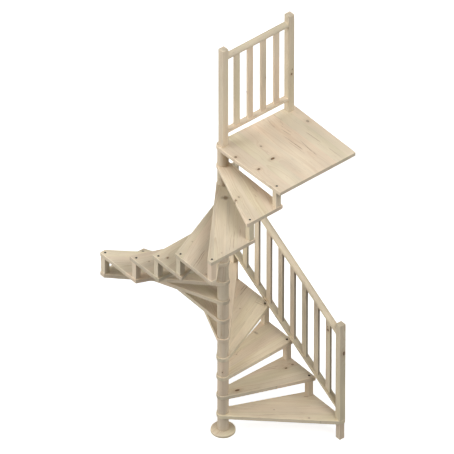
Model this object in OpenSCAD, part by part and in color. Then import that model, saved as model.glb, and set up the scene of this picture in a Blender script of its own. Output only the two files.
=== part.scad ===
// Square-plan wooden spiral stair: a turned column of drums and tread ends,
// fourteen wedge treads that rise counter-clockwise, a quarter landing,
// short corner posts between the treads, and two balustrades.
// Origin: the column axis at floor level. +Z is up. Millimetres.

/* [Stair] */
// Width of the square stair over the outer edges of the treads
stair_w = 1400; // [1300:10:1500]
// Height from one walking surface to the next
rise = 200; // [180:1:215]
// Thickness of every tread
tread_t = 38; // [28:1:44]
// Angle by which each straight edge of a tread closes in towards its middle line
edge_turn = 1.1; // [0:0.1:1.4]

/* [Column] */
// Radius of the rounded inner end of each tread
hub_r = 54.5; // [51:0.5:60]
// Radius of the turned drums between the treads
drum_r = 46.5; // [38:0.5:48.5]
// Radius of the foot disc
disc_r = 101.5; // [80:0.5:140]
// Thickness of the foot disc
disc_t = 24.5; // [16:0.5:36]
// Height of the rounding on the foot disc's upper edge
disc_round = 9; // [4:1:12]

/* [Posts] */
// Side of the square newels and landing posts
newel_w = 58; // [50:1:64]
// Side of the short square posts between the treads
post_w = 50; // [44:1:56]
// Distance from a tread's outer edge to the outer face of a newel
newel_inset = 1.5; // [1:0.5:10]
// Distance from a tread's outer edge to the outer face of a short post
post_inset = 6; // [2:0.5:12]
// Height of a newel's top above the tread it stands on
newel_h = 1000; // [960:5:1100]

/* [Landing] */
// Thickness of the landing board
landing_t = 38; // [28:1:44]
// Projection of the landing past the square of the treads
landing_over = 51; // [20:1:80]
// Angle by which each edge of the landing beside the flight closes in
landing_turn = 1.6; // [0:0.1:2]
// Height of the landing posts above the landing
landing_post_h = 987; // [950:1:1100]
// Distance between the centres of the two landing posts
landing_span = 681.5; // [600:0.5:700]
// Distance of the landing balustrade's centre line from the column axis, away from the flight
landing_back = 5; // [0:1:8]

/* [Balustrade] */
// Diameter of the handrails
rail_d = 57; // [44:1:58]
// Depth of the flat on the underside of the handrails
rail_flat = 2.5; // [2.5:0.5:6]
// Height of the flight handrail's centre above the tread nosing line, at the lower newel
rail_h = 881; // [850:1:910]
// Height that the flight's two rails gain on the treads between the newels
rail_gain = 21; // [0:1:40]
// Height of the landing handrail's centre above the landing
landing_rail_h = 896; // [850:1:915]
// Width of a baluster along its rail, and width of the bottom rails
slat_w = 54; // [40:1:57]
// Thickness of a baluster, and depth of the bottom rails
slat_t = 21; // [16:1:22]
// Height of the flight bottom rail's centre above the tread nosing line, at the lower newel
base_rail_h = 105; // [90:1:160]
// Height of the landing bottom rail's centre above the landing
landing_base_h = 132; // [90:1:180]
// Number of balusters beside the flight
flight_bals = 8; // [6:1:9]
// Number of balusters on the landing
landing_bals = 4; // [3:1:5]

/* [Hidden] */
$fn = 96;

// four treads to each quarter of the square
step = 22.5;
// how far inside the round hub's side a straight edge starts
edge_in = 0.8;
// the front edge of the first tread points at the lower newel's corner
start = -45;
n_treads = 14;
half = stair_w / 2;
// centre line of the newels, from the column axis
newel_c = half - newel_inset - newel_w / 2;
landing_z = (n_treads + 1) * rise;
rail_r = rail_d / 2;
// the lower and upper newel stand four treads apart on one side of the square
run = 2 * newel_c;
climb = 4 * rise + rail_gain;
slope = atan2(climb, run);
pine = [0.87, 0.78, 0.61];
pine_dark = [0.80, 0.70, 0.53];

// distance from the axis to the square of half-side s, along angle a
function reach(a, s) = s / max(abs(cos(a)), abs(sin(a)));
// where the radial line at angle a crosses the square of half-side s
function on_square(a, s) = [reach(a, s) * cos(a), reach(a, s) * sin(a)];
// point at distance r along angle a
function polar(r, a) = [r * cos(a), r * sin(a)];

// plan of a board from angle a to angle b: a round hub on the axis, two straight
// edges that leave the hub's sides and close in by turn, and the outer end cut
// by the square of half-side s
module board_plan(a, b, s, turn) {
  far = 2 * s;
  e = hub_r - edge_in;
  front = polar(e, a - 90);
  back = polar(e, b + 90);
  union() {
    circle(r = hub_r);
    intersection() {
      square(2 * s, center = true);
      polygon([front, front + polar(far, a + turn),
               polar(1.5 * far, (a + b) / 2),
               back + polar(far, b - turn), back]);
    }
  }
}

module tread(k) {
  a = start + step * (k - 1);
  color(pine)
    translate([0, 0, k * rise - tread_t])
      linear_extrude(tread_t) board_plan(a, a + step, half, edge_turn);
}

// foot disc with a rounded upper edge
module foot_disc() {
  color(pine_dark)
    rotate_extrude()
      union() {
        square([disc_r - disc_round, disc_t]);
        square([disc_r, disc_t - disc_round]);
        translate([disc_r - disc_round, disc_t - disc_round]) circle(r = disc_round);
      }
}

// one turned drum under each tread, and one under the landing
module column_drums() {
  color(pine_dark) {
    translate([0, 0, disc_t]) cylinder(h = rise - tread_t - disc_t, r = drum_r);
    for (k = [1 : n_treads])
      translate([0, 0, k * rise])
        cylinder(h = rise - (k == n_treads ? landing_t : tread_t), r = drum_r);
  }
}

module landing_board() {
  color(pine)
    translate([0, 0, landing_z - landing_t])
      linear_extrude(landing_t)
        board_plan(-90, 0, half + landing_over, landing_turn);
}

// square post of side w, centred on x and y, from z up to z + h
module square_post(x, y, z, w, h) {
  translate([x - w / 2, y - w / 2, z]) cube([w, w, h]);
}

// square posts between each tread's back edge and the next tread's front edge
module tread_posts() {
  color(pine_dark)
    for (k = [1 : n_treads]) {
      p = on_square(start + step * k, half - post_inset - post_w / 2);
      square_post(p[0], p[1], k * rise, post_w,
                  rise - (k == n_treads ? landing_t : tread_t));
    }
}

module newel_foot() {
  c = half - post_inset - post_w / 2;
  color(pine_dark) square_post(c, -c, 0, post_w, rise - tread_t);
}

module lower_newel() {
  color(pine) square_post(newel_c, -newel_c, rise, newel_w, newel_h);
}

module upper_newel() {
  color(pine) square_post(newel_c, newel_c, 5 * rise, newel_w, newel_h);
}

// distance from a handrail's centre down to its flat underside
flat = rail_r - rail_flat;

// round rail with a flat underside that the balusters meet, along +X from x = 0
module round_rail(length) {
  difference() {
    rotate([0, 90, 0]) cylinder(h = length, r = rail_r);
    translate([-1, -rail_r - 1, -rail_r - 1])
      cube([length + 2, 2 * rail_r + 2, rail_r + 1 - flat]);
  }
}

// line between the newels: z at a given y, where h is the height above the
// nosing line at the lower newel
function flight_z(y, h) = rise + h + (y + newel_c) * climb / run;

module flight_handrail() {
  y0 = -newel_c;
  color(pine)
    intersection() {
      translate([newel_c, y0, flight_z(y0, rail_h)])
        rotate([0, 0, 90]) rotate([0, -slope, 0])
          translate([-100, 0, 0]) round_rail(run / cos(slope) + 200);
      translate([newel_c - 60, y0 + newel_w / 2, 0])
        cube([120, run - newel_w, landing_z + 2000]);
    }
}

// slab in the plane of the flight's side, between two heights above the nosing line
module flight_strip(ya, yb, lo, hi, w) {
  translate([newel_c - w / 2, 0, 0])
    rotate([90, 0, 90])
      linear_extrude(w)
        polygon([[ya, flight_z(ya, lo)], [yb, flight_z(yb, lo)],
                 [yb, flight_z(yb, hi)], [ya, flight_z(ya, hi)]]);
}

// vertical half depth of the sloped bottom rail, and drop to the handrail's flat
base_v = slat_t / 2 / cos(slope);
flat_v = flat / cos(slope);

module flight_bottom_rail() {
  color(pine)
    flight_strip(-newel_c + newel_w / 2, newel_c - newel_w / 2,
                 base_rail_h - base_v, base_rail_h + base_v, slat_w);
}

module flight_balusters() {
  color(pine)
    for (i = [1 : flight_bals]) {
      y = -newel_c + run * i / (flight_bals + 1);
      flight_strip(y - slat_w / 2, y + slat_w / 2,
                   base_rail_h + base_v, rail_h - flat_v, slat_t);
    }
}

module landing_post_inner() {
  color(pine) square_post(0, -landing_back, landing_z, newel_w, landing_post_h);
}

module landing_post_outer() {
  color(pine) square_post(landing_span, -landing_back, landing_z, newel_w, landing_post_h);
}

module landing_handrail() {
  color(pine)
    translate([newel_w / 2, -landing_back, landing_z + landing_rail_h])
      round_rail(landing_span - newel_w);
}

module landing_bottom_rail() {
  color(pine)
    translate([newel_w / 2, -landing_back - slat_w / 2,
               landing_z + landing_base_h - slat_t / 2])
      cube([landing_span - newel_w, slat_w, slat_t]);
}

module landing_balusters() {
  lo = landing_z + landing_base_h + slat_t / 2;
  hi = landing_z + landing_rail_h - flat;
  color(pine)
    for (i = [1 : landing_bals])
      translate([landing_span * i / (landing_bals + 1) - slat_w / 2,
                 -landing_back - slat_t / 2, lo])
        cube([slat_w, slat_t, hi - lo]);
}

foot_disc();
column_drums();
tread(1);  // tread_01
tread(2);  // tread_02
tread(3);  // tread_03
tread(4);  // tread_04
tread(5);  // tread_05
tread(6);  // tread_06
tread(7);  // tread_07
tread(8);  // tread_08
tread(9);  // tread_09
tread(10);  // tread_10
tread(11);  // tread_11
tread(12);  // tread_12
tread(13);  // tread_13
tread(14);  // tread_14
landing_board();
tread_posts();
newel_foot();
lower_newel();
upper_newel();
flight_handrail();
flight_bottom_rail();
flight_balusters();
landing_post_inner();
landing_post_outer();
landing_handrail();
landing_bottom_rail();
landing_balusters();
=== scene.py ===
import bmesh
import bpy
import math
import random
from mathutils import Matrix, Vector
from mathutils.geometry import tessellate_polygon


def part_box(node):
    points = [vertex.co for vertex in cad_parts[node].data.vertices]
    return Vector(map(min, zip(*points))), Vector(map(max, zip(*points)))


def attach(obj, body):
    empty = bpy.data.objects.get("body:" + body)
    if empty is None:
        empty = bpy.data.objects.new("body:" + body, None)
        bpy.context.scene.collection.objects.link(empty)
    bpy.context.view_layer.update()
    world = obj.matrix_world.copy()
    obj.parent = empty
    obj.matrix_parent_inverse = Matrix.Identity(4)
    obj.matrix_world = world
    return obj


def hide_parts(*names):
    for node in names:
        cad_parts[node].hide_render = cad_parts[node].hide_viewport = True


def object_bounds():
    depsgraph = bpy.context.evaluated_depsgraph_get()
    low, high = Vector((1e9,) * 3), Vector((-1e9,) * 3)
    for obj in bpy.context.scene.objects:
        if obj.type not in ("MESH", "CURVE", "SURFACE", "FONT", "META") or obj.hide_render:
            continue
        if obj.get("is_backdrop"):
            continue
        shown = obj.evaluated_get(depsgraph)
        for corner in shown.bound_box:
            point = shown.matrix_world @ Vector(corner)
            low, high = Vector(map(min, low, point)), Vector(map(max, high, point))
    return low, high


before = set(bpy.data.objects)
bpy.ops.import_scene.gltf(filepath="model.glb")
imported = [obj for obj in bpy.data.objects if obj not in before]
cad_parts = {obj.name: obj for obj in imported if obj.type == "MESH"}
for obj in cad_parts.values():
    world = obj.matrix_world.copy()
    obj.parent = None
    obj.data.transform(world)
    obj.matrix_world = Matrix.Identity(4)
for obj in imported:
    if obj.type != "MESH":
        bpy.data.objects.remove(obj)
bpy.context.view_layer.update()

scene = bpy.context.scene
UP = Vector((0, 0, 1))


# ---------------------------------------------------------------- sizes from the frame

def box(name):
    lo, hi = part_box(name)
    return lo, hi


land_lo, land_hi = box("landing_board")
t1_lo, t1_hi = box("tread_01")
t5_lo, t5_hi = box("tread_05")
LAND_Z = land_hi.z
RISE = LAND_Z / 15
TREAD_T = t1_hi.z - t1_lo.z
LAND_T = land_hi.z - land_lo.z
HALF = t5_hi.y                      # half the width of the square of the treads
LAND_HALF = land_hi.x
HUB_R = -box("tread_03")[0].x
drum_lo, drum_hi = box("column_drums")
DRUM_R = drum_hi.x
disc_lo, disc_hi = box("foot_disc")
DISC_R, DISC_T = disc_hi.x, disc_hi.z
STEP, START = 22.5, -45.0
EDGE_TURN, LAND_TURN = 1.1, 1.6     # the straight edges close in by these angles
EDGE_IN = 0.0008
foot_lo, foot_hi = box("newel_foot")
POST_W = foot_hi.x - foot_lo.x
POST_C = (foot_lo.x + foot_hi.x) / 2

ROUND_TREAD = 0.0045                # eased edges of the boards
ROUND_POST = 0.0022                 # eased edges of the posts
ROUND_SLAT = 0.0018                 # eased edges of the balusters and bottom rails


def rad(a):
    return math.radians(a)


def polar(r, a):
    return Vector((r * math.cos(rad(a)), r * math.sin(rad(a))))


def on_square(a, s):
    c, d = math.cos(rad(a)), math.sin(rad(a))
    return Vector((c, d)) * (s / max(abs(c), abs(d)))


# ---------------------------------------------------------------- outlines: (x, y, nx, ny), counter-clockwise

def fillet(points, radius, seg=5):
    """Rounds every corner of a convex or nearly convex outline."""
    out = []
    n = len(points)
    for i, p in enumerate(points):
        a, b = points[i - 1], points[(i + 1) % n]
        r = radius[i] if isinstance(radius, (list, tuple)) else radius
        u, v = (p - a).normalized(), (b - p).normalized()
        nu, nv = Vector((u.y, -u.x)), Vector((v.y, -v.x))
        turn = math.atan2(u.x * v.y - u.y * v.x, u.dot(v))
        if turn < 0.02 or r <= 0:
            m = (nu + nv).normalized()
            out.append((p.x, p.y, m.x, m.y))
            continue
        back = r * math.tan(turn / 2)
        c = p - u * back - nu * r
        a0 = math.atan2(nu.y, nu.x)
        for j in range(seg + 1):
            t = a0 + turn * j / seg
            nx, ny = math.cos(t), math.sin(t)
            out.append((c.x + r * nx, c.y + r * ny, nx, ny))
    return out


def clip(poly, axis, limit, sign):
    """Keeps the part of a polygon where sign * coordinate <= limit."""
    out = []
    for i, p in enumerate(poly):
        q = poly[(i + 1) % len(poly)]
        dp, dq = limit - sign * p[axis], limit - sign * q[axis]
        if dp >= 0:
            out.append(p)
        if dp * dq < 0:
            out.append(p + (q - p) * (dp / (dp - dq)))
    return out


def board_outline(a, b, s, turn, corner):
    """Round hub on the axis, two straight edges, outer end cut by the square of half-side s."""
    e = HUB_R - EDGE_IN
    front, back = polar(e, a - 90), polar(e, b + 90)
    d0, d1 = polar(1, a + turn), polar(1, b - turn)

    def leave(p, d):
        t = -p.dot(d) + math.sqrt(max(0.0, p.dot(d) ** 2 - p.dot(p) + HUB_R ** 2))
        return p + d * t

    f, g = leave(front, d0), leave(back, d1)
    far = 2 * s
    poly = [f, front + d0 * far, polar(1.5 * far, (a + b) / 2), back + d1 * far, g]
    for axis in (0, 1):
        for sign in (1, -1):
            poly = clip(poly, axis, s, sign)
    # the hub's two ends are the points that the clipping left untouched
    i = min(range(len(poly)), key=lambda k: (poly[k] - f).length)
    poly = poly[i:] + poly[:i]
    rounded = fillet(poly, [0 if (p - f).length < 1e-6 or (p - g).length < 1e-6 else corner for p in poly])
    # replace the two hub ends by the arc round the back of the hub
    nf = Vector((d0.y, -d0.x))
    ng = Vector((-d1.y, d1.x))
    rounded = [q for q in rounded if (Vector(q[:2]) - f).length > 1e-6 and (Vector(q[:2]) - g).length > 1e-6]
    # blend the slight kink where each straight edge meets the hub
    af, ag = math.atan2(f.y, f.x), math.atan2(g.y, g.x)
    while af < ag:
        af += 2 * math.pi
    n = 56
    arc = []
    for j in range(n + 1):
        t = ag + (af - ag) * j / n
        nx, ny = math.cos(t), math.sin(t)
        if j == 0:
            m = (Vector((nx, ny)) + ng).normalized()
            nx, ny = m.x, m.y
        if j == n:
            m = (Vector((nx, ny)) + nf).normalized()
            nx, ny = m.x, m.y
        arc.append((HUB_R * math.cos(t), HUB_R * math.sin(t), nx, ny))
    return list(rounded) + arc


def rect(w, d, r, seg=4):
    w, d = w / 2, d / 2
    return fillet([Vector((-w, -d)), Vector((w, -d)), Vector((w, d)), Vector((-w, d))], r, seg)


def round_flat(r, flat, soft=0.0015):
    """Round rail section in (x, y), flat at y = -flat, its edges eased."""
    a = math.acos(flat / r)
    out = []
    n = 56
    t0, t1 = -math.pi / 2 + a + soft / r, 1.5 * math.pi - a - soft / r
    for j in range(n + 1):
        t = t0 + (t1 - t0) * j / n
        out.append((r * math.cos(t), r * math.sin(t), math.cos(t), math.sin(t)))
    x = r * math.sin(a) - soft
    out.append((-x, -flat, -0.12, -0.993))
    out.append((0.0, -flat, 0.0, -1.0))
    out.append((x, -flat, 0.12, -0.993))
    return out


# ---------------------------------------------------------------- mesh building

class Grain:
    """Wood coordinates of one solid: along, across and through the grain, in metres."""

    def __init__(self, along, across, origin=(0, 0, 0), seed=0):
        self.u = Vector(along).normalized()
        v = Vector(across)
        self.v = (v - self.u * v.dot(self.u)).normalized()
        self.w = self.u.cross(self.v)
        self.o = Vector(origin)
        rnd = random.Random(seed)
        self.shift = Vector((rnd.uniform(2, 12), rnd.uniform(2, 12), rnd.uniform(2, 12)))
        self.tone = rnd.uniform(-1, 1)

    def at(self, p):
        d = Vector(p) - self.o
        return Vector((d.dot(self.u), d.dot(self.v), d.dot(self.w))) + self.shift


class Shell:
    """Points, faces and corner normals of one piece."""

    def __init__(self):
        self.co, self.grain, self.way, self.tone, self.edge = [], [], [], [], []
        self.faces, self.normals = [], []

    def point(self, p, wood, edge=0.0):
        self.co.append(tuple(p))
        g = wood.at(p)
        self.grain.append(tuple(g))
        self.way.append(tuple(wood.u))
        self.tone.append(wood.tone)
        self.edge.append(edge)
        return len(self.co) - 1

    def face(self, ids, normals):
        self.faces.append(tuple(ids))
        self.normals.extend(tuple(n) for n in normals)

    def build(self, name):
        me = bpy.data.meshes.new(name)
        me.from_pydata(self.co, [], self.faces)
        me.polygons.foreach_set("use_smooth", [True] * len(self.faces))
        for key, kind, values in (("grain", "FLOAT_VECTOR", self.grain), ("way", "FLOAT_VECTOR", self.way),
                                  ("tone", "FLOAT", self.tone), ("edge", "FLOAT", self.edge)):
            att = me.attributes.new(key, kind, "POINT")
            if kind == "FLOAT":
                att.data.foreach_set("value", values)
            else:
                att.data.foreach_set("vector", [c for v in values for c in v])
        me.normals_split_custom_set(self.normals)
        me.update()
        if me.validate(verbose=False):
            print("mesh repaired:", name)
        ob = bpy.data.objects.new(name, me)
        scene.collection.objects.link(ob)
        return ob


def prism(sh, outline, z0, z1, r_top, r_low, wood, M=None, holes=(), low_holes=(), seg=4, rings=1, painted_side_shade=0.0):
    """Solid along local z with rounded ends, counterbores (x, y, radius, depth) from above or below."""
    M = M or Matrix.Identity(4)
    NM = M.to_3x3().inverted().transposed()

    def put(x, y, z, e=0.0):
        return sh.point(M @ Vector((x, y, z)), wood, e)

    def nrm(x, y, z):
        return (NM @ Vector((x, y, z))).normalized()

    levels = []
    # the last value of each level is the edge mark. On the lower rounding it is a painted highlight, except on boards
    # (lower rounding over 3 mm), where it is negative: painted shade along the lower arris.
    for i in range(seg + 1):
        f = math.pi / 2 * i / seg
        if r_low > 0 or i == 0:
            levels.append((r_low * (1 - math.sin(f)), z0 + r_low * (1 - math.cos(f)), math.sin(f), -math.cos(f),
                           math.sin(2 * f) * (-0.55 if r_low > 0.003 else 1.0)))
    if r_low <= 0:
        levels = [(0.0, z0, 1.0, 0.0, 0.0)]
    za, zb = z0 + r_low, z1 - r_top
    for j in range(1, rings):
        levels.append((0.0, za + (zb - za) * j / rings, 1.0, 0.0, 0.0))
    if r_top > 0:
        # on the upper rounding the edge mark is positive: a painted highlight along the upper arris.
        for i in range(seg + 1):
            f = math.pi / 2 * i / seg
            levels.append((r_top * (1 - math.cos(f)), z1 - r_top * (1 - math.sin(f)), math.cos(f), math.sin(f),
                           math.sin(2 * f)))
    else:
        levels.append((0.0, z1, 1.0, 0.0, 0.0))
    n = len(outline)
    rows, norms = [], []
    for inset, z, h, v, e in levels:
        # painted shade: the faces across local x get a lower edge mark, in proportion to the last parameter.
        rows.append([put(x - nx * inset, y - ny * inset, z, e - painted_side_shade * abs(nx) ** 4) for x, y, nx, ny in outline])
        norms.append([nrm(nx * h, ny * h, v) for x, y, nx, ny in outline])
    for k in range(len(levels) - 1):
        for i in range(n):
            j = (i + 1) % n
            sh.face((rows[k][i], rows[k][j], rows[k + 1][j], rows[k + 1][i]),
                    (norms[k][i], norms[k][j], norms[k + 1][j], norms[k + 1][i]))

    def cap(row, inset, z, up, bores):
        fn = nrm(0, 0, up)
        if not bores:
            ids = row if up > 0 else row[::-1]
            sh.face(ids, [fn] * n)
            return
        loops = [[Vector((x - nx * inset, y - ny * inset, 0)) for x, y, nx, ny in outline]]
        ids = list(row)
        for hx, hy, hr, depth in bores:
            m, c = 28, 0.0009
            ring = [(math.cos(2 * math.pi * t / m), math.sin(2 * math.pi * t / m)) for t in range(m)]
            top = [put(hx + (hr + c) * a, hy + (hr + c) * b, z, 0.0) for a, b in ring]
            loops.append([Vector((hx + (hr + c) * a, hy + (hr + c) * b, 0)) for a, b in ring][::-1])
            ids += top[::-1]
            # edge mark 1 at the foot of the chamfer gives it a painted highlight; -1 at the bottom paints shade down
            # the bore wall and on its floor.
            mid = [put(hx + hr * a, hy + hr * b, z - up * c, 1.0) for a, b in ring]
            low = [put(hx + hr * a, hy + hr * b, z - up * depth, -1.0) for a, b in ring]
            for t in range(m):
                s = (t + 1) % m
                nc = [nrm(-ring[q][0] * 0.7, -ring[q][1] * 0.7, 0.7 * up) for q in (t, s)]
                nw = [nrm(-ring[q][0], -ring[q][1], 0) for q in (t, s)]
                if up < 0:
                    sh.face((top[t], mid[t], mid[s], top[s]), (nc[0], nc[0], nc[1], nc[1]))
                    sh.face((mid[t], low[t], low[s], mid[s]), (nw[0], nw[0], nw[1], nw[1]))
                else:
                    sh.face((top[s], mid[s], mid[t], top[t]), (nc[1], nc[1], nc[0], nc[0]))
                    sh.face((mid[s], low[s], low[t], mid[t]), (nw[1], nw[1], nw[0], nw[0]))
            sh.face(low if up > 0 else low[::-1], [fn] * m)
        flat = [p for lp in loops for p in lp]
        for tri in tessellate_polygon(loops):
            a, b, c = (flat[k] for k in tri)
            turn = (b - a).cross(c - a).z
            if abs(turn) < 1e-14:
                continue
            if turn * up < 0:
                tri = tri[::-1]
            sh.face([ids[k] for k in tri], [fn] * 3)

    cap(rows[0], levels[0][0], z0, -1, low_holes)
    cap(rows[-1], levels[-1][0], z1, 1, holes)


def lathe(sh, profile, wood, seg=96, centre=(0, 0)):
    """Turned solid on a vertical axis. profile: (r, z, nr, nz, edge) from the lower to the upper flat; edge is the
    mark for painted highlight (above 0) and painted shade (below 0).
    """
    rows, norms = [], []
    last = None
    for r, z, nr, nz, e in profile:
        row, nn = [], []
        same = last is not None and abs(r - last[0]) + abs(z - last[1]) < 1e-7
        for i in range(seg):
            t = 2 * math.pi * i / seg
            c, s = math.cos(t), math.sin(t)
            if not same:
                row.append(sh.point((centre[0] + r * c, centre[1] + r * s, z), wood, e))
            nn.append(Vector((nr * c, nr * s, nz)).normalized())
        rows.append(rows[-1] if same else row)
        norms.append(nn)
        last = (r, z)
    for k in range(len(rows) - 1):
        if rows[k] is rows[k + 1]:
            continue
        for i in range(seg):
            j = (i + 1) % seg
            sh.face((rows[k][i], rows[k][j], rows[k + 1][j], rows[k + 1][i]),
                    (norms[k][i], norms[k][j], norms[k + 1][j], norms[k + 1][i]))
    sh.face(rows[0][::-1], [(0, 0, -1)] * seg)
    sh.face(rows[-1], [(0, 0, 1)] * seg)


def drum_profile(r, z0, z1, ease, seg=4, neck=0.0, gap=0.0):
    """Eased ends with a painted highlight on their rounding; with a neck, each end is set in by that much over the
    height of the gap, and the neck is painted dark: painted shade in the groove.
    """
    out = []
    if neck:
        out += [(r - neck, z0, 1, 0, -1.0), (r - neck, z0 + gap, 1, 0, -1.0), (r - neck, z0 + gap, 0, -1, -1.0)]
        z0, z1 = z0 + gap, z1 - gap
    for i in range(seg + 1):
        f = math.pi / 2 * i / seg
        out.append((r - ease * (1 - math.sin(f)), z0 + ease * (1 - math.cos(f)), math.sin(f), -math.cos(f), math.sin(2 * f)))
    for i in range(seg + 1):
        f = math.pi / 2 * i / seg
        out.append((r - ease * (1 - math.cos(f)), z1 - ease * (1 - math.sin(f)), math.cos(f), math.sin(f), math.sin(2 * f)))
    if neck:
        out += [(r - neck, z1, 0, 1, -1.0), (r - neck, z1, 1, 0, -1.0), (r - neck, z1 + gap, 1, 0, -1.0)]
    return out


# ---------------------------------------------------------------- material nodes

class Net:
    def __init__(self, name):
        self.mat = bpy.data.materials.new(name)
        self.mat.use_nodes = True
        self.nt = self.mat.node_tree
        self.nt.nodes.clear()

    def add(self, kind, **props):
        nd = self.nt.nodes.new(kind)
        for k, v in props.items():
            setattr(nd, k, v)
        return nd

    def put(self, socket, value):
        if value is None:
            return
        if isinstance(value, bpy.types.NodeSocket):
            self.nt.links.new(value, socket)
        elif isinstance(value, (tuple, list)) and len(value) == 3 and socket.type == "RGBA":
            socket.default_value = (*value, 1.0)
        else:
            socket.default_value = value

    def math(self, op, a, b=None, c=None, clamp=False):
        nd = self.add("ShaderNodeMath", operation=op, use_clamp=clamp)
        for s, v in zip(nd.inputs, (a, b, c)):
            self.put(s, v)
        return nd.outputs[0]

    def vec(self, op, a, b=None, scale=None):
        nd = self.add("ShaderNodeVectorMath", operation=op)
        self.put(nd.inputs[0], a)
        if b is not None:
            self.put(nd.inputs[1], b)
        if scale is not None:
            self.put(nd.inputs["Scale"], scale)
        return nd.outputs["Value"] if op in ("DOT_PRODUCT", "LENGTH", "DISTANCE") else nd.outputs["Vector"]

    def attr(self, name):
        return self.add("ShaderNodeAttribute", attribute_type="GEOMETRY", attribute_name=name)

    def split(self, v):
        nd = self.add("ShaderNodeSeparateXYZ")
        self.put(nd.inputs[0], v)
        return nd.outputs[0], nd.outputs[1], nd.outputs[2]

    def join(self, x, y, z):
        nd = self.add("ShaderNodeCombineXYZ")
        for s, v in zip(nd.inputs, (x, y, z)):
            self.put(s, v)
        return nd.outputs[0]

    def noise(self, v, scale, detail=2.0, rough=0.5, dist=0.0):
        nd = self.add("ShaderNodeTexNoise", noise_dimensions="3D")
        self.put(nd.inputs["Vector"], v)
        nd.inputs["Scale"].default_value = scale
        nd.inputs["Detail"].default_value = detail
        nd.inputs["Roughness"].default_value = rough
        nd.inputs["Distortion"].default_value = dist
        return nd.outputs[0]

    def white(self, v):
        nd = self.add("ShaderNodeTexWhiteNoise", noise_dimensions="3D")
        self.put(nd.inputs["Vector"], v)
        return nd.outputs["Color"]

    def ramp(self, v, lo, hi, a=0.0, b=1.0, smooth=True):
        nd = self.add("ShaderNodeMapRange", interpolation_type="SMOOTHSTEP" if smooth else "LINEAR", clamp=True)
        self.put(nd.inputs["Value"], v)
        for k, x in (("From Min", lo), ("From Max", hi), ("To Min", a), ("To Max", b)):
            self.put(nd.inputs[k], x)
        return nd.outputs["Result"]

    def mix(self, f, a, b, mode="MIX"):
        nd = self.add("ShaderNodeMix", data_type="RGBA", blend_type=mode, clamp_factor=True)
        self.put(nd.inputs[0], f)
        self.put(nd.inputs[6], a)
        self.put(nd.inputs[7], b)
        return nd.outputs[2]


EARLY = (0.812, 0.702, 0.538)
LATE = (0.600, 0.440, 0.272)
KNOT = (0.170, 0.090, 0.042)
KNOT_RIM = (0.080, 0.040, 0.020)


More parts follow.
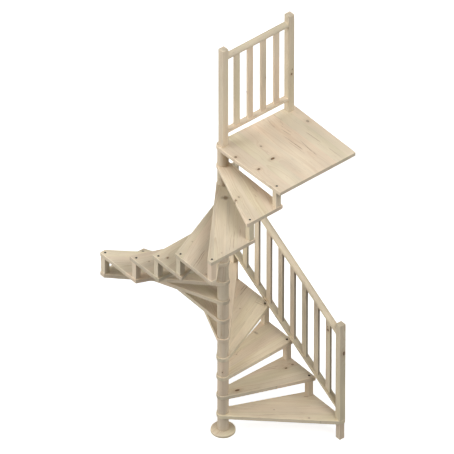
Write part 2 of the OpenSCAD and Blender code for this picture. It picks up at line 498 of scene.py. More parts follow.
def pine(name, knots=(), ring=0.0042, board=0.094, grain_w=1.0, pins=0.0, shade=1.0, warm=0.0, streak=1.0, lines=(), ends=0.98):
    """Planed pine. knots: (u, v, half length, half width, darkness) in the piece's wood coordinates; a negative
    darkness is a soft brown smear. lines: (u0, v0, u1, v1, half width, darkness), single dark grain lines."""
    n = Net(name)
    g = n.attr("grain").outputs["Vector"]
    u, v, w = n.split(g)
    tone = n.attr("tone").outputs["Fac"]
    edge = n.attr("edge").outputs["Fac"]
    way = n.attr("way").outputs["Vector"]
    normal = n.add("ShaderNodeNewGeometry").outputs["Normal"]
    end = n.ramp(n.math("ABSOLUTE", n.vec("DOT_PRODUCT", normal, way)), 0.55, 0.9)

    # boards glued side by side, each with its own heart
    lane = n.math("DIVIDE", v, board)
    index = n.math("FLOOR", lane)
    inside = n.math("MULTIPLY", n.math("SUBTRACT", n.math("SUBTRACT", lane, index), 0.5), board)
    pick = n.split(n.white(n.join(index, 3.7, 1.3)))
    pick2 = n.split(n.white(n.join(index, 8.1, 5.9)))

    slow = n.noise(n.join(n.math("MULTIPLY", u, 1.35), n.math("MULTIPLY", v, 3.0), n.math("ADD", n.math("MULTIPLY", w, 3.0), index)), 1.0, 3.0, 0.55)
    fine = n.noise(n.join(n.math("MULTIPLY", u, 5.0), n.math("MULTIPLY", v, 38.0), n.math("MULTIPLY", w, 38.0)), 1.0, 2.0, 0.5)
    hv = n.math("ADD", n.math("MULTIPLY", n.math("SUBTRACT", pick[0], 0.5), board * 1.1),
                n.math("MULTIPLY", n.math("SUBTRACT", slow, 0.5), 0.085))
    hw = n.math("ADD", n.math("MULTIPLY", pick[1], 0.055), 0.022)
    dv = n.math("SUBTRACT", inside, hv)
    local_w = n.math("SUBTRACT", w, n.math("FLOOR", n.math("ADD", w, 0.0)))
    low = n.noise(n.join(n.math("MULTIPLY", u, 0.8), 4.0, index), 1.0, 1.0, 0.5)
    dw = n.math("ADD", n.math("ADD", hw, n.math("MULTIPLY", n.math("SUBTRACT", low, 0.5), 0.05)),
                n.math("MULTIPLY", n.math("PINGPONG", n.math("MULTIPLY", w, 1.0), 0.06), 1.0))
    dist = n.math("SQRT", n.math("ADD", n.math("MULTIPLY", dv, dv), n.math("MULTIPLY", dw, dw)))
    dist = n.math("ADD", dist, n.math("MULTIPLY", n.math("SUBTRACT", fine, 0.5), 0.0022))

    # knots push the rings aside and darken their hearts
    core, rim, halo = None, None, None
    smears = [k for k in knots if k[4] < 0]
    for ku, kv, ru, rv, dark in [k for k in knots if k[4] > 0]:
        du = n.math("DIVIDE", n.math("SUBTRACT", u, ku), ru)
        dk = n.math("DIVIDE", n.math("SUBTRACT", v, kv), rv)
        d = n.math("SQRT", n.math("ADD", n.math("MULTIPLY", du, du), n.math("MULTIPLY", dk, dk)))
        d = n.math("ADD", d, n.math("MULTIPLY", n.math("SUBTRACT", fine, 0.5), 0.35))
        c = n.math("MULTIPLY", n.ramp(d, 0.75, 1.15, 1.0, 0.0), dark)
        r = n.math("MULTIPLY", n.math("MULTIPLY", n.ramp(d, 0.55, 0.95), n.ramp(d, 1.0, 1.3, 1.0, 0.0)), dark)
        h = n.math("MULTIPLY", n.ramp(d, 0.8, 4.2, 1.0, 0.0), min(1.0, dark + 0.1))
        # displacement: fades over about five knot widths, longer along the grain
        fu = n.math("DIVIDE", n.math("SUBTRACT", u, ku), ru * 6.5)
        fv = n.math("DIVIDE", n.math("SUBTRACT", v, kv), rv * 3.6)
        fall = n.math("POWER", 2.718, n.math("MULTIPLY", n.math("ADD", n.math("MULTIPLY", fu, fu), n.math("MULTIPLY", fv, fv)), -1.0))
        dist = n.math("ADD", dist, n.math("MULTIPLY", fall, rv * 1.25))
        core = c if core is None else n.math("MAXIMUM", core, c)
        rim = r if rim is None else n.math("MAXIMUM", rim, r)
        halo = h if halo is None else n.math("MAXIMUM", halo, h)

    if pins > 0:
        vor = n.add("ShaderNodeTexVoronoi", voronoi_dimensions="3D", feature="F1")
        n.put(vor.inputs["Vector"], n.join(n.math("MULTIPLY", u, 0.62), v, w))
        vor.inputs["Scale"].default_value = pins
        vor.inputs["Randomness"].default_value = 1.0
        size = n.split(vor.outputs["Color"])[0]
        d = n.math("DIVIDE", n.math("DIVIDE", vor.outputs["Distance"], pins), n.math("ADD", n.math("MULTIPLY", size, 0.0050), 0.0020))
        d = n.math("ADD", d, n.math("MULTIPLY", n.math("SUBTRACT", fine, 0.5), 0.5))
        c = n.math("MULTIPLY", n.ramp(d, 0.8, 1.2, 1.0, 0.0), 0.85)
        r = n.math("MULTIPLY", n.math("MULTIPLY", n.ramp(d, 0.6, 1.0), n.ramp(d, 1.05, 1.35, 1.0, 0.0)), 0.8)
        h = n.math("MULTIPLY", n.ramp(d, 0.8, 4.5, 1.0, 0.0), 0.8)
        dist = n.math("ADD", dist, n.math("MULTIPLY", n.ramp(d, 1.0, 7.0, 1.0, 0.0), 0.006))
        core = c if core is None else n.math("MAXIMUM", core, c)
        rim = r if rim is None else n.math("MAXIMUM", rim, r)
        halo = h if halo is None else n.math("MAXIMUM", halo, h)

    # growth rings: slow rise to the dark latewood, sharp fall
    gap = n.math("MULTIPLY", n.math("ADD", n.math("MULTIPLY", pick[2], 0.9), 0.65), ring)
    turns = n.math("DIVIDE", dist, gap)
    ring_id = n.math("FLOOR", turns)
    phase = n.math("SUBTRACT", turns, ring_id)
    late = n.math("MULTIPLY", n.ramp(phase, 0.30, 0.90), n.ramp(phase, 0.92, 1.0, 1.0, 0.0))
    each = n.split(n.white(n.join(ring_id, index, 2.2)))[0]
    each = n.math("POWER", each, 1.6)
    late = n.math("MULTIPLY", late, n.math("ADD", n.math("MULTIPLY", each, 0.95), 0.24))
    # years of dense and of open growth: bands that follow the rings
    years = n.noise(n.join(n.math("MULTIPLY", dist, 62.0), n.math("MULTIPLY", index, 3.17), n.math("MULTIPLY", u, 0.35)), 1.0, 2.0, 0.6)

    # fibres, broad tone, streaks, flecks
    fibre = n.noise(n.join(n.math("MULTIPLY", u, 14.0), n.math("MULTIPLY", v, 620.0), n.math("MULTIPLY", w, 620.0)), 1.0, 3.0, 0.6)
    streaks = n.noise(n.join(n.math("MULTIPLY", u, 2.6), n.math("MULTIPLY", v, 70.0), n.math("MULTIPLY", w, 70.0)), 1.0, 3.0, 0.55)
    broad = n.noise(n.join(n.math("MULTIPLY", u, 2.4), n.math("MULTIPLY", v, 7.5), n.math("MULTIPLY", w, 7.5)), 1.0, 2.0, 0.5)
    hue = n.noise(n.join(n.math("MULTIPLY", u, 1.7), n.math("MULTIPLY", v, 5.0), n.math("ADD", n.math("MULTIPLY", w, 5.0), 40.0)), 1.0, 2.0, 0.5)

    f = n.math("MULTIPLY", late, 0.50 * grain_w)
    f = n.math("ADD", f, n.math("MULTIPLY", n.ramp(streaks, 0.52, 0.78), 0.24 * streak))
    f = n.math("ADD", f, n.math("MULTIPLY", n.ramp(years, 0.48, 0.74), 0.15 * grain_w))
    f = n.math("ADD", f, n.math("MULTIPLY", n.math("SUBTRACT", fibre, 0.5), 0.20), clamp=True)
    col = n.mix(f, EARLY, LATE)
    # pinkish and greenish drift, board by board and along the board
    drift = n.math("ADD", n.math("MULTIPLY", n.math("SUBTRACT", hue, 0.5), 2.4), n.math("MULTIPLY", n.math("SUBTRACT", pick2[0], 0.5), 1.0))
    drift = n.math("ADD", n.math("ADD", drift, n.math("MULTIPLY", tone, 0.30)), warm)
    col = n.mix(n.ramp(drift, 0.0, 1.0, 0.0, 0.85, smooth=False), col, (1.035, 0.955, 0.935), "MULTIPLY")
    col = n.mix(n.ramp(drift, 0.0, -1.0, 0.0, 0.85, smooth=False), col, (0.960, 0.990, 0.905), "MULTIPLY")
    value = n.math("ADD", n.math("MULTIPLY", n.math("SUBTRACT", broad, 0.5), 0.42), n.math("MULTIPLY", n.math("SUBTRACT", pick2[1], 0.5), 0.12))
    value = n.math("ADD", n.math("ADD", value, n.math("MULTIPLY", tone, 0.050)), shade)
    seam = n.math("ABSOLUTE", n.math("SUBTRACT", n.math("SUBTRACT", lane, index), 0.5))
    value = n.math("MULTIPLY", value, n.ramp(seam, 0.5 - 0.0005 / board, 0.5, 1.0, 0.84))
    value = n.math("MULTIPLY", value, n.ramp(end, 0.0, 1.0, 1.0, ends))
    # painted highlight where the edge mark is above 0 (rounded arrises, bore chamfers) and painted shade where it is
    # below 0 (lower board arrises, bore walls, drum necks, narrow baluster sides).
    value = n.math("MULTIPLY", value, n.ramp(edge, 0.0, 1.0, 1.0, 1.14))
    value = n.math("MULTIPLY", value, n.ramp(edge, 0.0, -1.0, 1.0, 0.45))
    vv = n.join(value, value, value)
    col = n.mix(1.0, col, vv, "MULTIPLY")
    # resin flecks along the grain
    fleck = n.add("ShaderNodeTexVoronoi", voronoi_dimensions="3D", feature="F1")
    n.put(fleck.inputs["Vector"], n.join(n.math("MULTIPLY", u, 14.0), n.math("MULTIPLY", v, 150.0), n.math("MULTIPLY", w, 150.0)))
    fleck.inputs["Scale"].default_value = 1.0
    few = n.ramp(n.split(fleck.outputs["Color"])[1], 0.80, 0.86)
    dots = n.math("MULTIPLY", n.ramp(fleck.outputs["Distance"], 0.16, 0.30, 1.0, 0.0), few)
    col = n.mix(n.math("MULTIPLY", dots, n.math("SUBTRACT", 0.30, n.math("MULTIPLY", end, 0.30))), col, (0.42, 0.27, 0.14))
    if halo is not None:
        col = n.mix(n.math("MULTIPLY", halo, 0.34), col, (0.50, 0.31, 0.155))
        rays = n.noise(n.join(n.math("MULTIPLY", u, 260.0), n.math("MULTIPLY", v, 260.0), w), 1.0, 2.0, 0.6)
        body = n.mix(rays, KNOT, (0.30, 0.165, 0.080))
        col = n.mix(core, col, body)
        col = n.mix(rim, col, KNOT_RIM)

    for ku, kv, ru, rv, dark in smears:
        du = n.math("DIVIDE", n.math("SUBTRACT", u, ku), ru)
        dk = n.math("DIVIDE", n.math("SUBTRACT", v, kv), rv)
        d = n.math("SQRT", n.math("ADD", n.math("MULTIPLY", du, du), n.math("MULTIPLY", dk, dk)))
        d = n.math("ADD", d, n.math("MULTIPLY", n.math("SUBTRACT", streaks, 0.5), 1.6))
        col = n.mix(n.math("MULTIPLY", n.ramp(d, 0.1, 1.5, 1.0, 0.0), -dark), col, (0.215, 0.140, 0.072))
    if lines:
        sway = n.noise(n.join(n.math("MULTIPLY", u, 7.0), n.math("MULTIPLY", v, 4.0), 2.0), 1.0, 2.0, 0.5)
        thin = n.noise(n.join(n.math("MULTIPLY", u, 22.0), n.math("MULTIPLY", v, 12.0), 9.0), 1.0, 2.0, 0.5)
        for u0, v0, u1, v1, half, dark in lines:
            size = math.hypot(u1 - u0, v1 - v0)
            tu, tv = (u1 - u0) / size, (v1 - v0) / size
            pu, pv = n.math("SUBTRACT", u, u0), n.math("SUBTRACT", v, v0)
            run = n.math("ADD", n.math("MULTIPLY", pu, tu), n.math("MULTIPLY", pv, tv))
            off = n.math("SUBTRACT", n.math("MULTIPLY", pv, tu), n.math("MULTIPLY", pu, tv))
            off = n.math("ABSOLUTE", n.math("ADD", off, n.math("MULTIPLY", n.math("SUBTRACT", sway, 0.5), 0.020)))
            m = n.math("MULTIPLY", n.ramp(off, 0.25 * half, half, 1.0, 0.0), n.ramp(run, 0.0, 0.2 * size))
            m = n.math("MULTIPLY", m, n.ramp(run, 0.8 * size, size, 1.0, 0.0))
            m = n.math("MULTIPLY", m, n.ramp(thin, 0.30, 0.60, 0.45, 1.0))
            col = n.mix(n.math("MULTIPLY", m, dark), col, (0.38, 0.225, 0.11))

    rough = n.math("ADD", n.math("MULTIPLY", fibre, 0.16), 0.52)
    rough = n.math("SUBTRACT", rough, n.math("MULTIPLY", late, 0.07))
    height = n.math("ADD", n.math("MULTIPLY", fibre, 0.45), n.math("MULTIPLY", late, 0.55))
    height = n.math("ADD", height, n.math("MULTIPLY", n.ramp(seam, 0.5 - 0.0004 / board, 0.5, 0.0, -1.2), 1.0))
    if halo is not None:
        height = n.math("ADD", height, n.math("MULTIPLY", core, -0.5))
    bump = n.add("ShaderNodeBump")
    bump.inputs["Strength"].default_value = 0.35
    bump.inputs["Distance"].default_value = 0.00025
    n.put(bump.inputs["Height"], height)
    sh = n.add("ShaderNodeBsdfPrincipled")
    n.put(sh.inputs["Base Color"], col)
    n.put(sh.inputs["Roughness"], rough)
    sh.inputs["Specular IOR Level"].default_value = 0.28
    n.put(sh.inputs["Normal"], bump.outputs[0])
    out = n.add("ShaderNodeOutputMaterial")
    n.nt.links.new(sh.outputs[0], out.inputs["Surface"])
    return n.mat


def dark_steel(name):
    n = Net(name)
    pos = n.add("ShaderNodeTexCoord").outputs["Object"]
    a = n.noise(pos, 900.0, 3.0, 0.6)
    b = n.noise(pos, 4200.0, 2.0, 0.5)
    col = n.mix(n.ramp(a, 0.35, 0.7), (0.016, 0.014, 0.012), (0.040, 0.035, 0.031))
    sh = n.add("ShaderNodeBsdfPrincipled")
    n.put(sh.inputs["Base Color"], col)
    n.put(sh.inputs["Roughness"], n.math("ADD", n.math("MULTIPLY", b, 0.25), 0.32))
    sh.inputs["Metallic"].default_value = 0.30
    sh.inputs["Specular IOR Level"].default_value = 0.12
    bump = n.add("ShaderNodeBump")
    bump.inputs["Strength"].default_value = 0.2
    bump.inputs["Distance"].default_value = 0.00005
    n.put(bump.inputs["Height"], b)
    n.put(sh.inputs["Normal"], bump.outputs[0])
    out = n.add("ShaderNodeOutputMaterial")
    n.nt.links.new(sh.outputs[0], out.inputs["Surface"])
    return n.mat


def done(ob, material, slot, *nodes):
    ob.data.materials.append(material)
    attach(ob, "root")
    if nodes:
        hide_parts(*nodes)
    return ob


# ---------------------------------------------------------------- treads and landing

BORE_R, BORE_D = 0.0100, 0.0055
screws = []                     # (x, y, z of the bore's bottom, +1 up or -1 down)

# knots seen on each board: x, y, half length, half width (m), darkness
KNOTS = {
    1: [(0.480, -0.505, 0.006, 0.005, 0.5), (0.330, -0.245, 0.005, 0.004, 0.35)],
    2: [(0.106, -0.052, 0.018, 0.009, 0.95), (0.583, -0.092, 0.010, 0.007, 0.95), (0.652, -0.090, 0.009, 0.007, 0.65)],
    3: [(0.526, 0.222, 0.012, 0.028, -0.55), (0.235, 0.112, 0.004, 0.004, 0.4)],
    4: [(0.655, 0.262, 0.007, 0.006, 0.6), (0.470, 0.352, 0.006, 0.005, 0.3)],
    5: [(0.320, 0.560, 0.007, 0.005, 0.6)],
    6: [(0.080, 0.520, 0.008, 0.006, 0.7), (-0.060, 0.300, 0.005, 0.004, 0.5)],
    7: [(-0.180, 0.480, 0.007, 0.006, 0.6)],
    8: [(-0.300, 0.390, 0.008, 0.006, 0.6)],
    9: [(-0.500, 0.380, 0.006, 0.005, 0.5)],
    10: [(-0.620, 0.176, 0.006, 0.005, 0.45)],
    11: [(-0.629, -0.068, 0.008, 0.007, 0.8)],
    12: [(-0.500, -0.220, 0.005, 0.004, 0.3), (-0.672, -0.600, 0.006, 0.005, 0.4)],
    13: [(-0.104, -0.156, 0.022, 0.032, -0.85), (-0.560, -0.660, 0.005, 0.004, 0.35)],
    14: [(-0.168, -0.400, 0.009, 0.007, 0.40), (-0.214, -0.416, 0.010, 0.007, 0.65), (0.010, -0.690, 0.006, 0.005, 0.5)],
    15: [(0.022, -0.419, 0.008, 0.010, 0.95), (0.190, -0.389, 0.009, 0.016, 1.0), (0.216, -0.213, 0.009, 0.008, 0.40),
         (-0.024, -0.187, 0.009, 0.009, 0.75), (0.702, -0.210, 0.013, 0.009, 0.45)],
}
# single dark grain lines seen on the boards: from x, y to x, y, half width (m), darkness
LINES = {
    1: [(0.300, -0.262, 0.640, -0.560, 0.0040, 0.35), (0.120, -0.165, 0.430, -0.392, 0.0060, 0.40),
        (0.618, -0.268, 0.645, -0.305, 0.0080, 0.70)],
    2: [(0.425, 0.012, 0.530, -0.045, 0.0060, 0.55), (0.455, 0.010, 0.560, -0.030, 0.0045, 0.45),
        (0.050, -0.062, 0.300, -0.150, 0.0045, 0.45)],
    3: [(0.190, 0.090, 0.330, 0.158, 0.0030, 0.30)],
    4: [(0.570, 0.478, 0.705, 0.532, 0.0042, 0.85), (0.605, 0.516, 0.695, 0.552, 0.0036, 0.80),
        (0.615, 0.345, 0.640, 0.262, 0.0040, 0.60), (0.640, 0.350, 0.655, 0.270, 0.0035, 0.55)],
    12: [(-0.700, -0.470, -0.480, -0.360, 0.0045, 0.75), (-0.690, -0.490, -0.500, -0.385, 0.0035, 0.60)],
    13: [(-0.300, -0.505, -0.470, -0.690, 0.0050, 0.50), (-0.340, -0.520, -0.520, -0.700, 0.0035, 0.40),
         (-0.255, -0.520, -0.330, -0.610, 0.0045, 0.45)],
    14: [(-0.052, -0.440, -0.062, -0.492, 0.0045, 0.55), (0.000, -0.360, -0.014, -0.455, 0.0060, 0.40),
         (-0.200, -0.480, -0.232, -0.560, 0.0035, 0.35)],
    15: [(0.418, -0.300, 0.428, -0.505, 0.0032, 0.60), (0.436, -0.215, 0.446, -0.475, 0.0042, 0.85),
         (0.474, -0.140, 0.490, -0.265, 0.0038, 0.70), (0.502, -0.105, 0.514, -0.245, 0.0036, 0.65),
         (0.506, -0.345, 0.482, -0.600, 0.0040, 0.80), (0.470, 0.020, 0.450, -0.115, 0.0035, 0.55),
         (0.540, -0.060, 0.520, -0.125, 0.0034, 0.55), (0.608, -0.295, 0.616, -0.490, 0.0034, 0.70),
         (0.618, -0.560, 0.622, -0.745, 0.0036, 0.55), (0.545, 0.030, 0.556, -0.085, 0.0034, 0.45),
         (0.205, -0.215, 0.193, -0.360, 0.0040, 0.28)],
}
TONES = {1: 1.03, 2: 0.94, 3: 1.03, 4: 1.04, 5: 1.10, 6: 0.98, 7: 0.98, 8: 1.02, 9: 1.0, 10: 0.95, 11: 0.95, 12: 0.97,
         13: 0.95, 14: 1.06, 15: 1.03}


def board_piece(k):
    if k == 15:
        a, b, s, turn, z1, t = -90.0, 0.0, LAND_HALF, LAND_TURN, LAND_Z, LAND_T
        along = 90.6
    else:
        a = START + STEP * (k - 1)
        b, s, turn, z1, t = a + STEP, HALF, EDGE_TURN, k * RISE, TREAD_T
        along = a + 4.0
    wood = Grain((math.cos(rad(along)), math.sin(rad(along)), 0), (-math.sin(rad(along)), math.cos(rad(along)), 0),
                 (0, 0, z1 - t), seed=100 + k)
    wood.tone = 0.0
    outline = board_outline(a, b, s, turn, 0.0075)
    holes, low = [], []
    if k == 15:
        p = on_square(a, POST_C)
        holes.append((p.x, p.y))
    else:
        front, back = on_square(a, POST_C), on_square(b, POST_C)
        if k not in (1, 5):
            holes.append((front.x, front.y))
        low.append((back.x, back.y))
    for x, y in holes:
        screws.append((x, y, z1 - BORE_D, 1))
    for x, y in low:
        screws.append((x, y, z1 - t + BORE_D, -1))
    sh = Shell()
    prism(sh, outline, z1 - t, z1, ROUND_TREAD, ROUND_TREAD, wood,
          holes=[(x, y, BORE_R, BORE_D) for x, y in holes], low_holes=[(x, y, BORE_R, BORE_D) for x, y in low], seg=5)
    name = "landing_board_planed" if k == 15 else f"tread_{k:02d}_board"
    spots = []
    for x, y, lu, lv, dark in KNOTS.get(k, ()):
        q = wood.at((x, y, z1))
        spots.append((q.x, q.y, lu, lv, dark))
    marks = []
    for x0, y0, x1, y1, half, dark in LINES.get(k, ()):
        p, q = wood.at((x0, y0, z1)), wood.at((x1, y1, z1))
        marks.append((p.x, p.y, q.x, q.y, half, dark))
    mat = pine(f"pine_board_{k:02d}", spots, lines=marks, ends=0.84, ring=0.0046 if k < 15 else 0.0050,
               board=0.118 if k == 15 else 0.094, shade=TONES[k], grain_w=0.55 if k == 15 else 0.8,
               streak=0.5 if k == 15 else 0.8, warm=0.10 if k == 15 else 0.0)
    done(sh.build(name), mat, "pine_tread", "landing_board" if k == 15 else f"tread_{k:02d}")


for k in range(1, 16):
    board_piece(k)


# ---------------------------------------------------------------- column

pine_turned = pine("pine_turned_column", [], ring=0.0036, board=0.30, pins=9.0, grain_w=0.9, shade=0.97)

sh = Shell()
for k in range(15):
    z0 = DISC_T if k == 0 else k * RISE
    z1 = (k + 1) * RISE - (LAND_T if k == 14 else TREAD_T)
    tilt = rad(37 * k)
    wood = Grain((0, 0, 1), (math.cos(tilt), math.sin(tilt), 0), seed=300 + k)
    lathe(sh, drum_profile(DRUM_R, z0, z1, 0.0028, neck=0.0055, gap=0.0022), wood, 96)
done(sh.build("column_drums_turned"), pine_turned, "pine_turned", "column_drums")

sh = Shell()
prof = []
# the last value of each point is the edge mark: a painted highlight on the rounded edges.
for i in range(5):
    f = math.pi / 2 * i / 4
    prof.append((DISC_R - 0.0015 * (1 - math.sin(f)), 0.0015 * (1 - math.cos(f)), math.sin(f), -math.cos(f), math.sin(2 * f)))
R = 0.009
for i in range(9):
    f = math.pi / 2 * i / 8
    prof.append((DISC_R - R * (1 - math.cos(f)), DISC_T - R * (1 - math.sin(f)), math.cos(f), math.sin(f), math.sin(2 * f)))
lathe(sh, prof, Grain((1, 0.25, 0), (-0.25, 1, 0), seed=330), 128)
done(sh.build("foot_disc_turned"), pine("pine_foot_disc", [], ring=0.0045, board=0.11, pins=0.0, shade=1.0), "pine_turned", "foot_disc")


# ---------------------------------------------------------------- posts and newels

pine_posts = pine("pine_posts", [], ring=0.0034, board=0.40, pins=5.6, grain_w=0.85)


def post(sh, lo, hi, r, seed, r_top=0.0, r_low=0.0, spin=0, tone=None):
    c = (lo + hi) / 2
    wood = Grain((0, 0, 1), (math.cos(rad(spin)), math.sin(rad(spin)), 0), (c.x, c.y, 0), seed=seed)
    if tone is not None:
        wood.tone = tone
    M = Matrix.Translation((c.x, c.y, 0))
    prism(sh, rect(hi.x - lo.x, hi.y - lo.y, r), lo.z, hi.z, r_top, r_low, wood, M, seg=3)
    return wood


sh = Shell()
for k in range(1, 15):
    p = on_square(START + STEP * k, POST_C)
    w = POST_W / 2
    z0, z1 = k * RISE, (k + 1) * RISE - (LAND_T if k == 14 else TREAD_T)
    post(sh, Vector((p.x - w, p.y - w, z0)), Vector((p.x + w, p.y + w, z1)), ROUND_POST, 400 + k, 0.0008, 0.0008, spin=90 * (k % 4))
done(sh.build("corner_posts_planed"), pine_posts, "pine_post", "tread_posts")

sh = Shell()
post(sh, foot_lo, foot_hi, ROUND_POST, 431, 0.0008, 0.0015)
done(sh.build("newel_foot_planed"), pine_posts, "pine_post", "newel_foot")

for name, seed, tone in (("lower_newel", 441, -1.3), ("upper_newel", 442, -0.3), ("landing_post_inner", 443, 0.2),
                         ("landing_post_outer", 444, -0.7)):
    lo, hi = box(name)
    sh = Shell()
    wood = post(sh, lo, hi, ROUND_POST, seed, 0.0032, 0.0008, tone=tone)
    mat = pine_posts
    if name == "lower_newel":
        q = wood.at(((lo.x + hi.x) / 2 + 0.010, lo.y, lo.z + 0.70))
        mat = pine("pine_lower_newel", [(q.x, q.y, 0.018, 0.009, 0.85)], ring=0.0034, board=0.40, pins=5.6, grain_w=0.85)
    if name == "landing_post_outer":
        q = wood.at(((lo.x + hi.x) / 2, lo.y, 3.386))
        mat = pine("pine_outer_post", [(q.x, q.y, 0.009, 0.007, 0.8), (q.x + 0.045, q.y + 0.008, 0.006, 0.004, 0.6)],
                   ring=0.0034, board=0.40, pins=5.6, grain_w=0.85)
    done(sh.build(name + "_planed"), mat, "pine_post", name)


# ---------------------------------------------------------------- flight balustrade

low_lo, low_hi = box("lower_newel")
up_lo, up_hi = box("upper_newel")
Y0, Y1 = low_hi.y, up_lo.y                      # faces of the newels that the rails meet
CX = (low_lo.x + low_hi.x) / 2
rail_lo, rail_hi = box("flight_handrail")
RAIL_R = (rail_hi.x - rail_lo.x) / 2
base_lo, base_hi = box("flight_bottom_rail")
SLAT_W = base_hi.x - base_lo.x
bal_lo, bal_hi = box("flight_balusters")
SLAT_T = bal_hi.x - bal_lo.x
CLIMB, RUN = 0.821, 1.339
SLOPE = CLIMB / RUN
COS = 1 / math.sqrt(1 + SLOPE * SLOPE)
FLAT = RAIL_R - 0.0025
# the rail's top at the lower face of the upper newel gives the height of its centre line
rail_z1 = rail_hi.z - RAIL_R / COS
rail_z0 = rail_z1 - SLOPE * (Y1 - Y0)
base_z1 = base_hi.z - SLAT_T / 2 / COS
base_z0 = base_z1 - SLOPE * (Y1 - Y0)


def sloped(z_at_y0):
    """Local x across, local y up in the section, local z along the flight from y = Y0."""
    return Matrix(((-1, 0, 0, CX), (0, 0, 1, Y0), (0, 1 / COS, SLOPE, z_at_y0), (0, 0, 0, 1)))


along = Vector((0, 1, SLOPE)).normalized()
sh = Shell()
wood = Grain(along, (1, 0, 0), (CX, Y0, rail_z0), 451)
wood.tone = 0.0
prism(sh, round_flat(RAIL_R, FLAT), 0, Y1 - Y0, 0, 0, wood, sloped(rail_z0), rings=6)
done(sh.build("flight_handrail_round"), pine("pine_flight_handrail", [], ring=0.0034, board=0.40, grain_w=0.85, shade=1.12, warm=-0.10),
     "pine_post", "flight_handrail")

sh = Shell()
wood = Grain(along, (0, -SLOPE, 1), (CX, Y0, base_z0), 452)
prism(sh, rect(SLAT_W, SLAT_T, ROUND_SLAT), 0, Y1 - Y0, 0, 0, wood, sloped(base_z0), rings=6)
q = wood.at((CX - SLAT_W / 2, 0.236, base_z0 + SLOPE * (0.236 - Y0) + 0.003))
done(sh.build("flight_bottom_rail_planed"),
     pine("pine_bottom_rail", [(q.x, q.y, 0.010, 0.006, 0.85), (q.x + 0.034, q.y + 0.002, 0.006, 0.005, 0.6)],
          ring=0.0034, board=0.40, pins=5.6, grain_w=0.85), "pine_post", "flight_bottom_rail")

N_FLIGHT = 8
yc0, yc1 = (low_lo.y + low_hi.y) / 2, (up_lo.y + up_hi.y) / 2
sh = Shell()
for i in range(1, N_FLIGHT + 1):
    y = yc0 + (yc1 - yc0) * i / (N_FLIGHT + 1)
    zb = base_z0 + SLOPE * (y - Y0) + SLAT_T / 2 / COS
    zt = rail_z0 + SLOPE * (y - Y0) - FLAT / COS
    M = Matrix(((0, -1, 0, CX), (1, 0, 0, y), (SLOPE, 0, 1, 0), (0, 0, 0, 1)))
    wood = Grain((0, 0, 1), (0, 1, 0) if i % 2 else (1, 0, 0), (CX, y, 0), 460 + i)
    if i == 1:
        q = wood.at((CX, -0.523, 1.045))
        baluster_knots = [(q.x, q.y, 0.012, 0.009, 0.9), (q.x + 0.030, q.y + 0.004, 0.007, 0.005, 0.6)]
    # the narrow sides of the balusters, facing along the flight, are painted darker: painted shade.
    prism(sh, rect(SLAT_W, SLAT_T, ROUND_SLAT), zb, zt, 0.0006, 0.0006, wood, M, seg=2, rings=3, painted_side_shade=0.55)
done(sh.build("flight_balusters_planed"), pine("pine_flight_balusters", baluster_knots, ring=0.0034, board=0.40, pins=5.6, grain_w=0.85),
     "pine_post", "flight_balusters")


# ---------------------------------------------------------------- landing balustrade

in_lo, in_hi = box("landing_post_inner")
out_lo, out_hi = box("landing_post_outer")
lr_lo, lr_hi = box("landing_handrail")
CY = (in_lo.y + in_hi.y) / 2
LR = (lr_hi.y - lr_lo.y) / 2
zr = lr_hi.z - LR
lb_lo, lb_hi = box("landing_bottom_rail")
X0, X1 = lr_lo.x, lr_hi.x
level = Matrix(((0, 0, 1, X0), (1, 0, 0, CY), (0, 1, 0, 0), (0, 0, 0, 1)))

sh = Shell()
M = level.copy()
M[2][3] = zr
prism(sh, round_flat(LR, LR - 0.0025), 0, X1 - X0, 0, 0, Grain((1, 0, 0), (0, 1, 0), (X0, CY, zr), 481), M, rings=4)
done(sh.build("landing_handrail_round"), pine_posts, "pine_post", "landing_handrail")

sh = Shell()
M = level.copy()
M[2][3] = (lb_lo.z + lb_hi.z) / 2
prism(sh, rect(lb_hi.y - lb_lo.y, lb_hi.z - lb_lo.z, ROUND_SLAT), 0, X1 - X0, 0, 0, Grain((1, 0, 0), (0, 1, 0), (X0, CY, 0), 482), M, rings=4)
done(sh.build("landing_bottom_rail_planed"), pine_posts, "pine_post", "landing_bottom_rail")

N_LANDING = 4
xc0, xc1 = (in_lo.x + in_hi.x) / 2, (out_lo.x + out_hi.x) / 2
sh = Shell()
for i in range(1, N_LANDING + 1):
    x = xc0 + (xc1 - xc0) * i / (N_LANDING + 1)
    M = Matrix.Translation((x, CY, 0))
    wood = Grain((0, 0, 1), (1, 0, 0) if i % 2 else (0, 1, 0), (x, CY, 0), 490 + i)
    prism(sh, rect(SLAT_W, SLAT_T, ROUND_SLAT), lb_hi.z, zr - (LR - 0.0025), 0.0006, 0.0006, wood, M, seg=2, rings=3)
done(sh.build("landing_balusters_planed"), pine_posts, "pine_post", "landing_balusters")


# ---------------------------------------------------------------- screws

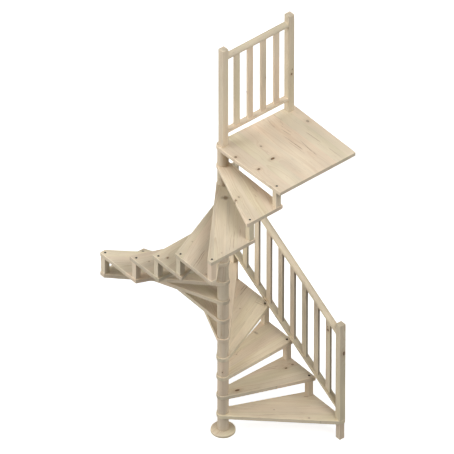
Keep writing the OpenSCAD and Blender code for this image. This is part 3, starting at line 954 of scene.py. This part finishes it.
def screw(sh, x, y, z, up):
    """Domed head with a hexagon socket, its seat at z."""
    class Bare:
        u = Vector((0, 0, 1))
        tone = 0.0

        def at(self, p):
            return Vector(p)
    wood = Bare()
    m, r, h = 24, 0.0096, 0.0042
    prof = [(r, 0.0, 1, 0), (r, h * 0.45, 1, 0.05), (r * 0.93, h * 0.72, 0.75, 0.65), (r * 0.78, h * 0.92, 0.4, 0.92), (r * 0.60, h, 0, 1)]
    rows, norms = [], []
    order = (lambda ids: ids) if up > 0 else (lambda ids: ids[::-1])
    for pr, pz, nr, nz in prof:
        rows.append([sh.point((x + pr * math.cos(2 * math.pi * i / m), y + pr * math.sin(2 * math.pi * i / m), z + up * pz), wood) for i in range(m)])
        norms.append([Vector((nr * math.cos(2 * math.pi * i / m), nr * math.sin(2 * math.pi * i / m), up * nz)).normalized() for i in range(m)])
    for k in range(len(rows) - 1):
        for i in range(m):
            j = (i + 1) % m
            sh.face(order([rows[k][i], rows[k][j], rows[k + 1][j], rows[k + 1][i]]),
                    order([norms[k][i], norms[k][j], norms[k + 1][j], norms[k + 1][i]]))
    sh.face(order(rows[0][::-1]), [(0, 0, -up)] * m)
    hexa = [(x + 0.0036 * math.cos(math.pi * i / 3 + 0.3), y + 0.0036 * math.sin(math.pi * i / 3 + 0.3)) for i in range(6)]
    top = [sh.point((a, b, z + up * h), wood) for a, b in hexa]
    low = [sh.point((a, b, z + up * (h - 0.0022)), wood) for a, b in hexa]
    loops = [[Vector((sh.co[i][0], sh.co[i][1], 0)) for i in rows[-1]], [Vector((a, b, 0)) for a, b in hexa][::-1]]
    ids = rows[-1] + top[::-1]
    flat = [p for lp in loops for p in lp]
    for tri in tessellate_polygon(loops):
        a, b, c = (flat[k] for k in tri)
        turn = (b - a).cross(c - a).z
        if abs(turn) < 1e-14:
            continue
        if turn * up < 0:
            tri = tri[::-1]
        sh.face([ids[k] for k in tri], [(0, 0, up)] * 3)
    for i in range(6):
        j = (i + 1) % 6
        mid = Vector(((hexa[i][0] + hexa[j][0]) / 2 - x, (hexa[i][1] + hexa[j][1]) / 2 - y, 0)).normalized() * -1
        sh.face(order([top[j], low[j], low[i], top[i]]), [mid] * 4)
    sh.face(order(low), [(0, 0, up)] * 6)


steel = dark_steel("screw_dark_steel")
for up, name in ((1, "screw_heads_upper"), (-1, "screw_heads_under")):
    sh = Shell()
    for x, y, z, side in screws:
        if side == up:
            screw(sh, x, y, z, up)
    done(sh.build(name), steel, "screw_head")


# ---------------------------------------------------------------- floor and backdrop

def disc(name, r, z):
    n = 96
    me = bpy.data.meshes.new(name)
    me.from_pydata([(r * math.cos(2 * math.pi * i / n), r * math.sin(2 * math.pi * i / n), z) for i in range(n)], [], [tuple(range(n))])
    ob = bpy.data.objects.new(name, me)
    scene.collection.objects.link(ob)
    ob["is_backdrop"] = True
    return ob


def stage_paint(ob, colour, glow):
    """Diffuse and faint glow on the side that its faces point to, clear from the other side."""
    net = Net(ob.name + "_paint")
    add = net.add("ShaderNodeAddShader")
    pale = net.add("ShaderNodeBsdfDiffuse")
    pale.inputs["Color"].default_value = (*colour, 1)
    lit = net.add("ShaderNodeEmission")
    lit.inputs["Color"].default_value = (1, 1, 1, 1)
    lit.inputs["Strength"].default_value = glow
    net.nt.links.new(pale.outputs[0], add.inputs[0])
    net.nt.links.new(lit.outputs[0], add.inputs[1])
    mixer = net.add("ShaderNodeMixShader")
    net.put(mixer.inputs[0], net.add("ShaderNodeNewGeometry").outputs["Backfacing"])
    net.nt.links.new(add.outputs[0], mixer.inputs[1])
    net.nt.links.new(net.add("ShaderNodeBsdfTransparent").outputs[0], mixer.inputs[2])
    out = net.add("ShaderNodeOutputMaterial")
    net.nt.links.new(mixer.outputs[0], out.inputs["Surface"])
    ob.data.materials.append(net.mat)


# the pale floor that shows, with the soft shadows on it
floor = disc("floor", 7.6, -0.0004)
stage_paint(floor, (0.80, 0.80, 0.80), 0.72)
floor.visible_diffuse = floor.visible_glossy = floor.visible_transmission = False
# what the floor sends back up to the stair
bounce = disc("floor_bounce", 40.0, -0.0010)
stage_paint(bounce, (0.02, 0.02, 0.02), 0.30)
bounce.visible_camera = bounce.visible_shadow = False
# white backdrop all round, seen only by the camera
bm = bmesh.new()
bmesh.ops.create_uvsphere(bm, u_segments=48, v_segments=24, radius=8.0)
bmesh.ops.translate(bm, verts=bm.verts, vec=(0, 0, 2.0))
bmesh.ops.reverse_faces(bm, faces=bm.faces)
me = bpy.data.meshes.new("backdrop")
bm.to_mesh(me)
bm.free()
backdrop = bpy.data.objects.new("backdrop", me)
scene.collection.objects.link(backdrop)
backdrop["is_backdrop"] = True
stage_paint(backdrop, (0.0, 0.0, 0.0), 1.0)
backdrop.visible_diffuse = backdrop.visible_glossy = backdrop.visible_transmission = backdrop.visible_shadow = False


# ---------------------------------------------------------------- light

world = bpy.data.worlds.new("studio")
scene.world = world
world.use_nodes = True
world.node_tree.nodes["Background"].inputs["Color"].default_value = (1, 1, 1, 1)
world.node_tree.nodes["Background"].inputs["Strength"].default_value = 0.02


def aim_from(el, az):
    return Vector((math.cos(rad(el)) * math.cos(rad(az)), math.cos(rad(el)) * math.sin(rad(az)), math.sin(rad(el))))


# soft lights far away: elevation and azimuth (from +X towards +Y) that the light comes from, strength, softness
SUNS = [
    (10, 150, 1.46, 35), (10, 30, 0.84, 35), (35, 270, 0.65, 35), (60, 135, 0.67, 35), (60, 270, 0.53, 35),
    (60, 180, 0.14, 35), (10, 120, 0.11, 35),
]
for i, (el, az, power, soft) in enumerate(SUNS):
    ld = bpy.data.lights.new(f"soft_{i}", "SUN")
    ld.energy = power
    ld.angle = rad(soft)
    ob = bpy.data.objects.new(f"soft_{i}", ld)
    d = aim_from(el, az)
    ob.rotation_euler = d.to_track_quat("Z", "Y").to_euler()
    ob.location = d * 6
    scene.collection.objects.link(ob)
# big lamps near the stair: they light its upper part more than its foot
for i, (el, az, power) in enumerate([(45, 270, 0.90), (15, 150, 0.29), (45, 0, 0.10)]):
    ld = bpy.data.lights.new(f"lamp_{i}", "POINT")
    ld.energy = power * 4 * math.pi * 5.5 ** 2
    ld.shadow_soft_size = 1.6
    ob = bpy.data.objects.new(f"lamp_{i}", ld)
    ob.location = Vector((0, 0, 3.2)) + aim_from(el, az) * 5.5
    ob.visible_camera = False
    scene.collection.objects.link(ob)


# ---------------------------------------------------------------- camera

az, el, s = rad(-39.69591), rad(40.11272), 0.00804781     # s: metres per picture pixel at the aim point
back = Vector((math.sin(az) * math.cos(el), -math.cos(az) * math.cos(el), math.sin(el)))
right = Vector((math.cos(az), math.sin(az), 0))
upv = back.cross(right)
aim = right * 0.0320203 + upv * 1.6359530
cam = bpy.data.cameras.new("camera")
co = bpy.data.objects.new("camera", cam)
scene.collection.objects.link(co)
D, W = 170.0, 454 * s                                     # the photo shows no perspective, so a very long lens
cam.sensor_width = 36
cam.lens = 36 * D / W
cam.clip_start, cam.clip_end = 100, 500
co.matrix_world = Matrix.Translation(aim + back * D) @ Matrix(
    ((right.x, upv.x, back.x), (right.y, upv.y, back.y), (right.z, upv.z, back.z))).to_4x4()
scene.camera = co
scene.view_settings.view_transform = "Standard"
scene.view_settings.look = "None"
scene.view_settings.exposure = 0.0
scene.view_settings.gamma = 1.0


# ---------------------------------------------------------------- sizes

lo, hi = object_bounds()
